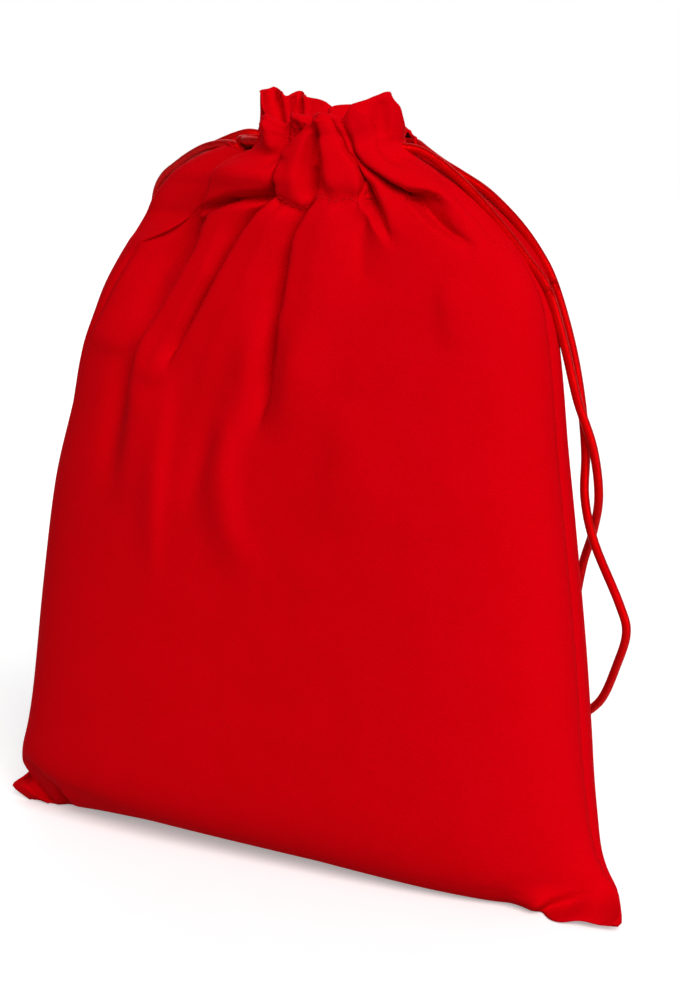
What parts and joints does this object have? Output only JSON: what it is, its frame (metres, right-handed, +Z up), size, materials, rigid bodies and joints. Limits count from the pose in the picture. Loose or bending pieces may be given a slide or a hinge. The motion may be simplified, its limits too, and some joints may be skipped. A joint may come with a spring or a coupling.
{
  "type": "drawstring pouch",
  "caption": "Soft velvet drawstring pouch, standing filled, with a pleated neck that satin cords draw shut and knotted cord tails over its shoulders.",
  "frame": {"origin": "middle of the base, on the surface the pouch stands on", "axes": "+Z up through the mouth, -Y out of the pictured front, +X to the right of that front"},
  "size_m": [0.246, 0.0665, 0.2622],
  "materials": {
    "velvet": "short-pile velvet, matt with a soft sheen",
    "satin_cord": "woven satin cord, glossy",
    "thread": "polyester sewing thread"
  },
  "bodies": {
    "pouch": {"front_panel": "velvet", "back_panel": "velvet", "left_seam": "velvet", "right_seam": "velvet", "bottom_seam": "velvet", "left_front_strand": "satin_cord", "left_back_strand": "satin_cord", "right_front_strand": "satin_cord", "right_back_strand": "satin_cord", "left_cord_bight": "satin_cord", "right_cord_bight": "satin_cord"},
    "front_flap": {"front_flap": "velvet", "front_hem": "velvet", "front_thread": "thread", "left_cord_front_run": "satin_cord", "right_cord_front_run": "satin_cord"},
    "back_flap": {"back_flap": "velvet", "back_hem": "velvet", "back_thread": "thread", "left_cord_back_run": "satin_cord", "right_cord_back_run": "satin_cord"},
    "left_tails": {"left_front_tail": "satin_cord", "left_back_tail": "satin_cord", "left_knot": "satin_cord"},
    "right_tails": {"right_front_tail": "satin_cord", "right_back_tail": "satin_cord", "right_knot": "satin_cord"}
  },
  "joints": [
    {"name": "front_mouth", "type": "slide", "parent": "pouch", "child": "front_flap", "axis": [0, -1, 0], "range_m": [0, 0.012], "deforming": ["left_front_strand", "left_back_strand", "right_front_strand", "right_back_strand", "left_cord_bight", "right_cord_bight"]},
    {"name": "back_mouth", "type": "slide", "parent": "pouch", "child": "back_flap", "axis": [0, 1, 0], "range_m": [0, 0.012]},
    {"name": "left_cord_draw", "type": "slide", "parent": "pouch", "child": "left_tails", "axis": [0, 0, -1], "range_m": [-0.024, 0], "deforming": ["left_front_tail", "left_back_tail"]},
    {"name": "right_cord_draw", "type": "slide", "parent": "pouch", "child": "right_tails", "axis": [0, 0, -1], "range_m": [-0.024, 0], "deforming": ["right_front_tail", "right_back_tail"]}
  ],
  "couplings": [
    {"joint": "back_mouth", "follows": "front_mouth", "ratio": 1},
    {"joint": "left_cord_draw", "follows": "front_mouth", "ratio": -2},
    {"joint": "right_cord_draw", "follows": "front_mouth", "ratio": -2}
  ]
}
